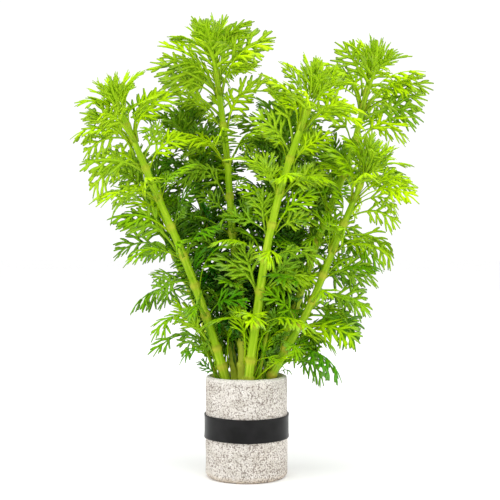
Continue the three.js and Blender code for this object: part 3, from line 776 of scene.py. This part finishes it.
def add_feather(blades, where, feather, hand, hang, pattern, rng):
    """A side branch of a leaf, with long lobes beside it, of which the first looks back."""
    _, length, angle, lobes = feather
    width = pattern["width"]
    spread = angle / WIDEST
    angle = np.radians(angle + rng.normal(0, 4)) * hand
    turn = -np.radians(FORWARD * spread + rng.normal(0, 6)) * hand
    length = length * rng.uniform(0.84, 1.16)
    hang = np.radians(hang + rng.normal(0, 8))
    steps = len(FEATHER_WIDTHS)
    path = bent_path((where, 0), angle, turn, length, steps)
    blades.add(path, width * np.array(FEATHER_WIDTHS), FEATHER_TIP, 0, hang=hang)
    spots = np.linspace(*LOBE_SPAN, lobes) if lobes > 1 else [ONE_LOBE] * lobes
    for number, share in enumerate(spots):
        back = hand if number % 2 == 0 else -hand
        root = np.array([np.interp(share, np.linspace(0, 1, steps), axis) for axis in path.T])
        reach = (1 - share) * length * rng.uniform(*LOBE_REACH)
        aim = angle + turn * share + back * np.radians(rng.uniform(*LOBE_ANGLE) * spread**0.5)
        twig = bent_path(root, aim, -back * np.radians(LOBE_TURN), reach, len(LOBE_WIDTHS))
        blades.add(twig, width * np.array(LOBE_WIDTHS), LOBE_TIP, 0, hang=hang)


def make_pattern(kind, number):
    """A leaf along its midrib and aside of it, as shares of its length."""
    rng = chance(kind + str(number))
    pattern = PATTERNS[kind]
    blades = Blades()
    along = np.linspace(pattern["start"], 1, 10)
    wander = 0.008 * np.sin(7 * along + rng.uniform(0, 6)) * along
    spine = np.column_stack([along, wander])
    widths = pattern["width"] * np.interp(along, *MIDRIB_WIDTHS)
    stalk = np.clip(1 - along / pattern["stalk"], 0, 1)
    blades.add(spine, widths, np.interp(along, *MIDRIB_TIP), stalk)
    for hand in (1, -1):
        hang = rng.normal(pattern["hang"], pattern["differ"])
        for feather in pattern["feathers"]:
            where = feather[0] + rng.uniform(-0.025, 0.025)
            add_feather(blades, where, feather, hand, hang, pattern, rng)
    return blades.done()


# How much leaves differ: their roll where there is no solid, and the deviation of the twist, in radians,
# of the sway and the sag, as shares of the length, and of the age.
ROLL, TWIST, SWAY, SAG, AGES = 1.3, 0.4, 0.03, 0.3, 0.08
MEAN_SAG = 0.5
# Of a ring's leaves without solids: lengths, the deviation of the tilt, and where in a gap they stand.
LENGTHS, TILTS, IN_GAP = (0.86, 1.08), 10, (0.42, 0.58)
FACING = (-0.2, 0.8)  # how far up a long leaf faces, for each 1 to the front
COPIES = 7  # patterns of each kind
ROOT = 0.6  # how far off a stem's skin a leaf's base is: its midrib starts before it
HIDING = 0.45  # a front stem's leaf that heads to the front by more than this share would hide the stem
STEM_CLEAR, CROWN_CLEAR, SHOOT_CLEAR = 1.6, 2.2, 0.7  # what is nearer to a stem belongs to the collar
BUNCH_MIDDLE = np.array([2, 4])
BUNCH_HEIGHTS, BUNCH_RADII = (30, 50, 80, 110), (14, 26, 40, 48)  # the bunch widens upwards
BUNCH_TOP = (65, 140)  # heights between which the bunch gets light
INNER_PAINTED_SHADE = -0.32  # painted shade: how much darker leaves are painted in the middle of the bunch, below its lit top, taken off their age
patterns = {kind: [make_pattern(kind, number) for number in range(COPIES)] for kind in PATTERNS}


def reach_out(place):
    """How far out a place is in the bunch: 0 in the middle, and 1 at its outline."""
    return np.linalg.norm(place[:2] - BUNCH_MIDDLE) / np.interp(place[2], BUNCH_HEIGHTS, BUNCH_RADII)


class Foliage:
    """Leaves gathered into one mesh."""

    def __init__(self, name, age):
        self.rng = chance(name)
        self.age = age
        self.parts = []
        self.count = 0

    def leaf(self, kind, ends, arch, axis, age):
        """A leaf whose midrib arches from base to tip, as in the CAD, and whose blade is never quite flat."""
        rng = self.rng
        flat = patterns[kind][rng.integers(COPIES)]
        base, tip, across = ends
        length = np.linalg.norm(tip - base)
        rise, level = leaf_frame(base, tip, axis)
        if across is None:
            roll = rng.uniform(-ROLL, ROLL)
            across = level * np.cos(roll) + rise * np.sin(roll)
        middle = (base + tip) / 2 + rise * (2 * arch * length)
        along, aside, lift = flat["places"].T
        share = np.clip(along, 0, 1)[:, None]
        point = (1 - share) ** 2 * base + 2 * share * (1 - share) * middle + share**2 * tip
        slope = unit(2 * (1 - share) * (middle - base) + 2 * share * (tip - middle))
        point = point + slope * (along[:, None] - share) * length
        twist = rng.normal(0, TWIST) * share
        above = np.cross(slope, across)
        beside = across * np.cos(twist) + above * np.sin(twist)
        above = above * np.cos(twist) - across * np.sin(twist)
        sway = rng.normal(0, SWAY) * np.sin(np.pi * share[:, 0])
        high = lift - (MEAN_SAG + rng.normal(0, SAG)) * aside**2
        places = point + (beside * (aside + sway)[:, None] + above * high[:, None]) * length
        # painted shade: a leaf in the middle of the bunch and below its top is painted darker
        centre = (base + tip) / 2
        lit = max(reach_out(centre), np.interp(centre[2], BUNCH_TOP, (0, 1)))
        shade = self.age + age + INNER_PAINTED_SHADE * (1 - min(lit, 1)) + rng.normal(0, AGES)
        self.parts.append((places, flat["faces"] + self.count, flat, np.full(len(places), shade)))
        self.count += len(places)

    def piece(self, name, slot, nodes):
        places, faces, flats, shades = zip(*self.parts)
        fields = {"age": np.concatenate(shades)}
        for field in ("tip", "stalk", "under"):
            fields[field] = np.concatenate([flat[field] for flat in flats])
        add_piece(name, np.vstack(places), np.vstack(faces), leaf_skin, nodes, fields)


def leaf_frame(base, tip, axis):
    """The directions in which a leaf arches and across it, for a leaf that isn't twisted."""
    chord = unit(tip - base)
    rise = unit(axis - chord * (axis @ chord))
    return rise, np.cross(rise, chord)


def solid_leaves(node, line, clear, axis):
    """The base, tip and direction across of each leaf in a CAD node: what stands clear of the stem."""
    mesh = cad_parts[node].data
    places = np.empty(3 * len(mesh.vertices))
    mesh.vertices.foreach_get("co", places)
    places, same = np.unique(np.round(places.reshape(-1, 3) / MM, 3), axis=0, return_inverse=True)
    mesh.calc_loop_triangles()
    corners = np.empty(3 * len(mesh.loop_triangles), np.int32)
    mesh.loop_triangles.foreach_get("vertices", corners)
    corners = same.ravel()[corners].reshape(-1, 3)
    edges = np.vstack([corners[:, [0, 1]], corners[:, [1, 2]], corners[:, [2, 0]]])
    far = line.nearest(places) > clear
    inner = edges[far[edges].all(1)]
    label = np.arange(len(places))
    changed = True
    while changed:
        lowest = label[inner].min(1)
        joined = label.copy()
        for ends in inner.T:
            np.minimum.at(joined, ends, lowest)
        changed = (joined != label).any()
        label = joined
    leaves = []
    for mark in np.unique(label[far]):
        blade = far & (label == mark)
        roots = np.unique(edges[blade[edges[:, 0]] & ~far[edges[:, 1]], 1])
        base = places[roots].mean(0)
        outline = places[blade]
        tip = outline[np.linalg.norm(outline - base, axis=1).argmax()]
        level = outline @ leaf_frame(base, tip, axis)[1]
        leaves.append((base, tip, unit(outline[level.argmax()] - outline[level.argmin()])))
    return leaves


def leaf_ends(stem, line, share, turn, tilt, length, droop):
    """The base and tip of a leaf that the CAD has no solid for."""
    point, axis, side, out = line.at(share)
    outward = side * np.cos(turn) + out * np.sin(turn)
    base = point + outward * (radius_at(stem, share) + ROOT)
    tilt = np.radians(tilt)
    tip = base + length * (axis * np.cos(tilt) + outward * np.sin(tilt)) - (0, 0, length * droop)
    return base, tip, None


leaf_skin = leaf_paint()
stem_skin = stem_paint()


def leaf_turns(leaves, line, share):
    """The turns round the stem of leaves with known bases."""
    point, _, side, out = line.at(share)
    return [np.arctan2((base - point) @ out, (base - point) @ side) for base, _, _ in leaves]


def leaf_age(share):
    return mix(*LEAF_AGE, share)


def hides_stem(stem, ends):
    """Whether a leaf of a front stem would stand in front of it."""
    aim = ends[1] - ends[0]
    return stem["age"] > 0 and aim[1] < -HIDING * np.hypot(aim[0], aim[1])


def fill_ring(foliage, stem, line, share, ring, taken=()):
    """Leaves round the stem in the widest gaps between those that are there."""
    rng = foliage.rng
    ring = {**RING_DEFAULTS, **ring}
    kind = ring["kind"]
    age = leaf_age(share) + PATTERNS[kind].get("fresher_and_lit", 0)
    taken = list(taken) or [rng.uniform(0, 6)]
    _, axis, _, _ = line.at(share)
    for _ in range(ring["count"]):
        ordered = np.sort(np.mod(taken, 2 * np.pi))
        gaps = np.diff(np.append(ordered, ordered[0] + 2 * np.pi))
        widest = gaps.argmax()
        turn = ordered[widest] + gaps[widest] * rng.uniform(*IN_GAP)
        taken.append(turn)
        length = stem["leaf"] * ring["size"] * rng.uniform(*LENGTHS)
        tilt = ring["tilt"] + rng.normal(0, TILTS)
        ends = leaf_ends(stem, line, share, turn, tilt, length, ring["droop"])
        if reach_out(ends[1]) < stem["within"] and not hides_stem(stem, ends):
            foliage.leaf(kind, ends, ring["arch"], axis, age)


def add_long_leaves(foliage, number, stem, line, rings, row):
    """The leaves that stand out in the photo, of those whose base is nearest to this ring."""
    for height, across, down, arch in LONG_LEAVES.get(number, []):
        share = line.share_at(height)
        if np.argmin(np.abs(np.array(rings) - share)) == row:
            point, axis, _, _ = line.at(share)
            tip = seen_at(across, down, point[1])
            outward = tip - point
            outward = unit(outward - axis * (axis @ outward))
            base = point + outward * (radius_at(stem, share) + ROOT)
            level = unit(np.cross(tip - base, (0, -1, foliage.rng.uniform(*FACING))))
            foliage.leaf("full", (base, tip, level), arch, axis, leaf_age(share))


def dress_ring(number, stem, line, rings, row):
    """The leaves of a ring with solids, and of the rings between it and the next."""
    name = f"leaf_whorl_{number}_{row + 1}"
    share, rise = rings[row], row / (WHORLS - 1)
    foliage = Foliage(name, stem["age"])
    _, axis, _, _ = line.at(share)
    leaves = solid_leaves(name, line, radius_at(stem, share) + STEM_CLEAR, axis)
    for ends in leaves:
        foliage.leaf("full", ends, RING_ARCH, axis, leaf_age(share))
    add_long_leaves(foliage, number, stem, line, rings, row)
    tilt, droop = mix(*RING_TILT, rise), mix(*RING_DROOP, rise)
    ring = {**BESIDE_SOLIDS, "tilt": tilt - BESIDE_SOLIDS["rise"], "droop": droop}
    fill_ring(foliage, stem, line, share, ring, leaf_turns(leaves, line, share))
    if row < WHORLS - 1:
        between, count = stem["between"]
        tilt = mix(*BETWEEN_SOLIDS["tilts"], rise)
        ring = {**BETWEEN_SOLIDS, "tilt": tilt, "count": count, "droop": droop / 2}
        for place in np.arange(1, between + 1) / (between + 1):
            fill_ring(foliage, stem, line, mix(share, rings[row + 1], place), ring)
    else:
        for place, ring in UNDER_CROWN:
            fill_ring(foliage, stem, line, mix(TOP_WHORL, 1, place), ring)
    if row == 0:
        for below, ring in UNDER_LOWEST:
            fill_ring(foliage, stem, line, share - (rings[1] - share) * below, ring)
    foliage.piece(f"foliage_{number}_{row + 1}", "leaf", [name])


def dress_crown(number, stem, line):
    name = f"crown_{number}"
    foliage = Foliage(name, stem["age"])
    rng = foliage.rng
    top, axis, _, _ = line.at(1)
    for ends in solid_leaves(name, line, CROWN_CLEAR, axis):
        tier = np.round(((ends[0] - top) @ axis - FIRST_TIER) / TIER_STEP)
        foliage.leaf("young", ends, mix(*CROWN_ARCH, tier / LAST_TIER), axis, CROWN_AGE + TIER_AGE * tier)
    for kind, fill in CROWN_FILL.items():
        for turn in np.arange(fill["count"]) * TURN_STEP:
            tilt = rng.uniform(*fill["tilt"])
            length = stem["crown"] * rng.uniform(*fill["size"])
            share = BUD_PLACE if kind == "bud" else 1 + rng.uniform(0, YOUNG_SPREAD)
            ends = leaf_ends(stem, line, share, turn, tilt, length, 0)
            foliage.leaf(kind, ends, fill["arch"], axis, fill["age"])
    foliage.piece(f"crown_leaves_{number}", "young_leaf", [name])


def dress_stem(number, stem):
    line = Line(stem["line"])
    rings, others = ring_shares(stem)
    places, faces, fields = stem_mesh(stem, line, [*rings, *others])
    add_piece(f"stalk_{number}", places, faces, stem_skin, [f"stem_{number}"], fields)
    for row in range(WHORLS):
        dress_ring(number, stem, line, rings, row)
    dress_crown(number, stem, line)


def dress_shoot(number, stem):
    line = Line(stem["line"])
    name = f"side_shoot_{number}"
    places, faces, fields = stem_mesh(stem, line, SHOOT_KNOTS, **SHOOT_MESH)
    add_piece(f"shoot_stalk_{number}", places, faces, stem_skin, [], fields)
    foliage = Foliage(name, stem["age"])
    _, axis, _, _ = line.at(SHOOT_TOP)
    for ends in solid_leaves(name, line, stem["radius"] + SHOOT_CLEAR, axis):
        foliage.leaf("narrow", ends, SHOOT_ARCH, axis, SHOOT_AGE)
    for share in SHOOT_RINGS:
        fill_ring(foliage, stem, line, share, {**ON_SHOOT, "tilt": mix(*ON_SHOOT["tilts"], share)})
    foliage.piece(f"shoot_leaves_{number}", "leaf", [name])


# The stage


def make_stage():
    paint = Paint("studio_floor")
    paint.set(Base_Color=paint.ramp(paint.noise(3, 1), [(0.4, 0.938), (0.6, 0.944)]), Roughness=0.9)
    size = 8
    corners = [(-size, -size, 0), (size, -size, 0), (size, size, 0), (-size, size, 0)]
    mesh = bpy.data.meshes.new("floor")
    mesh.from_pydata(corners, [], [(0, 1, 2, 3)])
    mesh.materials.append(paint.material)
    floor = new_object("floor", mesh)


# The world's strength, and each light's place, size and power.
WORLD = 1.06
LIGHTS = {
    "left_box": ((-0.75, -0.2, 0.3), 0.5, 2.4),
    "right_box": ((0.7, -0.32, 0.3), 0.5, 2.2),
    "top_box": ((0, -0.25, 0.85), 0.6, 3.2),
}
LIT_PLACE = (0, 0, 0.09)


def add_light(name, place, size, power):
    """A soft square light that looks at the middle of the plant."""
    data = bpy.data.lights.new(name, "AREA")
    data.size = size
    data.energy = power
    light = new_object(name, data)
    light.location = place
    aim = Vector(LIT_PLACE) - Vector(place)
    light.rotation_euler = aim.to_track_quat("-Z", "Y").to_euler()


def make_light():
    world = bpy.data.worlds.new("studio")
    world.use_nodes = True
    inputs = world.node_tree.nodes["Background"].inputs
    inputs["Color"].default_value = (1, 1, 1, 1)
    inputs["Strength"].default_value = WORLD
    bpy.context.scene.world = world
    for name, light in LIGHTS.items():
        add_light(name, *light)
    bpy.context.scene.view_settings.view_transform = "Standard"


def make_camera():
    data = bpy.data.cameras.new("camera")
    data.lens = CAMERA["lens"]
    data.sensor_width = CAMERA["sensor"]
    data.clip_start = 0.01
    camera = new_object("camera", data)
    camera.location = Vector((CAMERA["x"], -CAMERA["distance"], CAMERA["height"])) * MM
    camera.rotation_euler = (np.pi / 2, 0, 0)
    bpy.context.scene.camera = camera


make_camera()
make_light()
make_stage()
make_pot()
make_band()
make_wool()
for number, stem in enumerate(STEMS, 1):
    dress_stem(number, stem)
for number, shoot in enumerate(SHOOTS, 1):
    dress_shoot(number, shoot)
